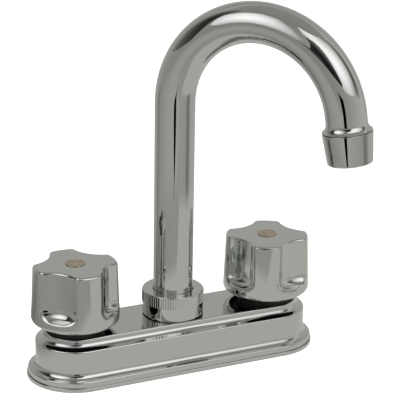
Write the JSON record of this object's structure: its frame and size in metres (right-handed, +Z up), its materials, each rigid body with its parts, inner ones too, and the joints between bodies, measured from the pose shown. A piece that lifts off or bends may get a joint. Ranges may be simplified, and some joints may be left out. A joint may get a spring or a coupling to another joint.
{
  "type": "gooseneck bar faucet",
  "caption": "Deck-mounted bar faucet: low racetrack base, hot and cold lobed knobs on turning valves, and a swivelling gooseneck spout with an aerator.",
  "frame": {"origin": "on the spout's swivel axis, in the plane of the sink deck under the base gasket", "axes": "+Z up, X along the base with the hot valve at -X and the cold valve at +X, -Y to the front of the sink"},
  "size_m": [0.1484, 0.1054, 0.227],
  "materials": {
    "chrome_plate": "mirror polished chromium plate",
    "index_metal": "satin plated button with a fine engraved ring",
    "brass": "bare cast and turned brass",
    "stainless": "plain stainless steel",
    "black_plastic": "black moulded acetal",
    "white_plastic": "white moulded acetal",
    "black_rubber": "black nitrile rubber",
    "ceramic": "lapped alumina"
  },
  "bodies": {
    "faucet_body": {"base_cover": "chrome_plate", "base_gasket": "black_rubber", "spout_hub": "brass", "spout_nut": "chrome_plate", "spout_bearing_ring": "white_plastic", "hot_valve_body": "brass", "hot_cross_tube": "brass", "hot_deck_washer": "stainless", "hot_mounting_nut": "brass", "hot_seat_seal": "black_rubber", "hot_fixed_disc": "ceramic", "hot_cartridge": "brass", "hot_cartridge_o_ring": "black_rubber", "hot_lock_ring": "black_plastic", "cold_valve_body": "brass", "cold_cross_tube": "brass", "cold_deck_washer": "stainless", "cold_mounting_nut": "brass", "cold_seat_seal": "black_rubber", "cold_fixed_disc": "ceramic", "cold_cartridge": "brass", "cold_cartridge_o_ring": "black_rubber", "cold_lock_ring": "black_plastic"},
    "spout": {"spout_tube": "chrome_plate", "spout_sleeve": "brass", "spout_lower_o_ring": "black_rubber", "spout_upper_o_ring": "black_rubber", "outlet_fitting": "chrome_plate", "aerator_shell": "chrome_plate", "aerator_gasket": "black_rubber", "aerator_insert": "white_plastic", "aerator_screen": "stainless"},
    "hot_handle": {"hot_knob": "chrome_plate", "hot_stem": "brass", "hot_moving_disc": "ceramic", "hot_stem_o_ring": "black_rubber", "hot_stem_clip": "stainless", "hot_knob_screw": "stainless", "hot_index_button": "index_metal"},
    "cold_handle": {"cold_knob": "chrome_plate", "cold_stem": "brass", "cold_moving_disc": "ceramic", "cold_stem_o_ring": "black_rubber", "cold_stem_clip": "stainless", "cold_knob_screw": "stainless", "cold_index_button": "index_metal"}
  },
  "joints": [
    {"name": "spout_swivel", "type": "hinge", "parent": "faucet_body", "child": "spout", "pos_m": [0, 0, 0.02], "axis": [0, 0, 1], "continuous": true},
    {"name": "hot_valve", "type": "hinge", "parent": "faucet_body", "child": "hot_handle", "pos_m": [-0.0508, 0, 0.03], "axis": [0, 0, 1], "range_deg": [0, 90]},
    {"name": "cold_valve", "type": "hinge", "parent": "faucet_body", "child": "cold_handle", "pos_m": [0.0508, 0, 0.03], "axis": [0, 0, -1], "range_deg": [0, 90]}
  ]
}
